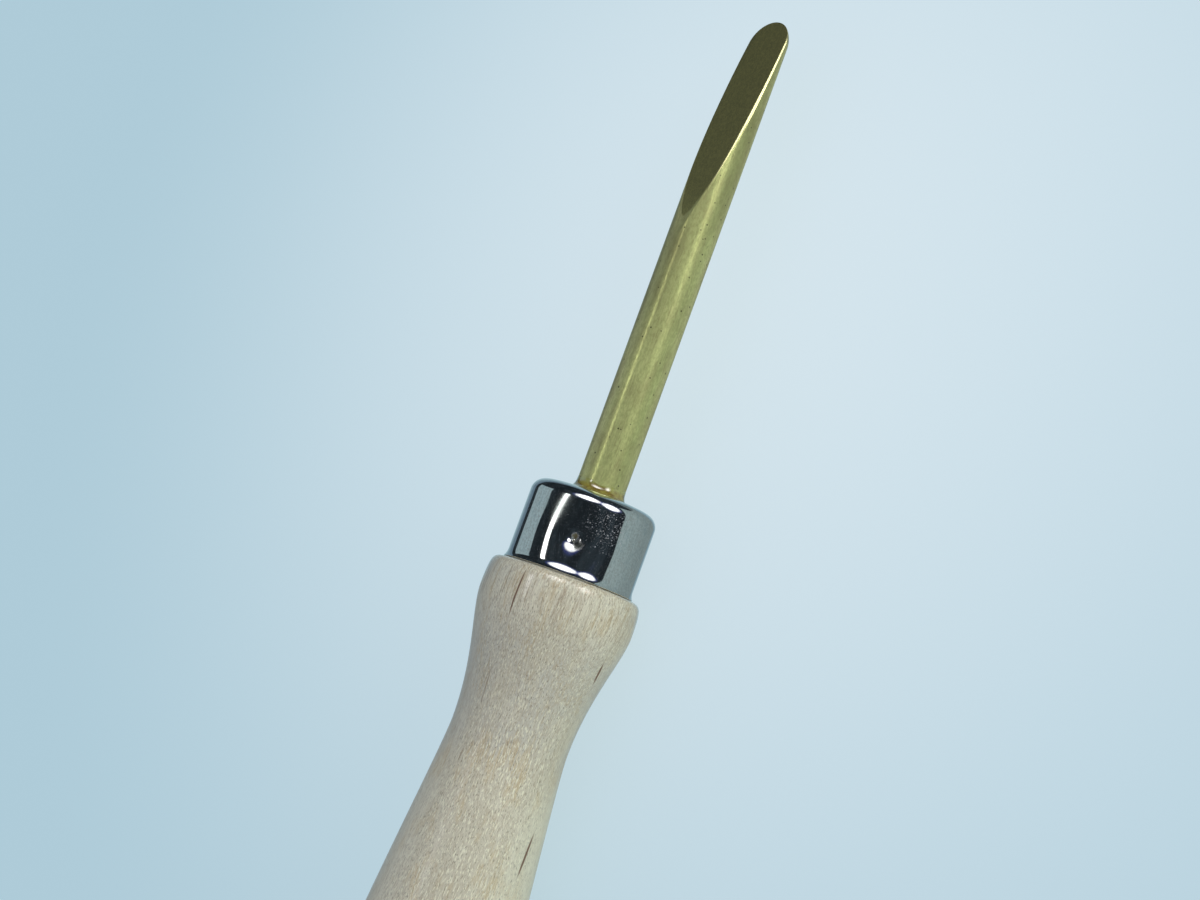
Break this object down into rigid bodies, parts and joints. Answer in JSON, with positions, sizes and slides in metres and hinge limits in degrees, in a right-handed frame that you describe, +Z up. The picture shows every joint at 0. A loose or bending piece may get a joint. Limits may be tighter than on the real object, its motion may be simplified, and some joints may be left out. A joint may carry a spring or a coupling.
{
  "type": "pottery spatula",
  "caption": "Small clay-shaping hand tool: a brass rod ground flat into a round-nosed blade, set in a turned pale wooden handle with a plated, staked ferrule.",
  "frame": {"origin": "on the surface that the tool lies on, under the middle of its bounding box", "axes": "+X towards the blade's tip, +Z up from the surface with the blade's ground flat facing up, +Y to the left of the blade; the tool lies on the shoulder and belly of its handle, so its long axis slopes 1.03 degrees nose down from +X"},
  "size_m": [0.1706, 0.0212, 0.0213],
  "materials": {
    "pale_wood": "satin",
    "plated_steel": "polished",
    "brass_rod": "satin",
    "amber_glue": "gloss"
  },
  "bodies": {
    "root": {"handle": "pale_wood", "ferrule": "plated_steel", "blade": "brass_rod", "adhesive": "amber_glue"}
  },
  "joints": []
}
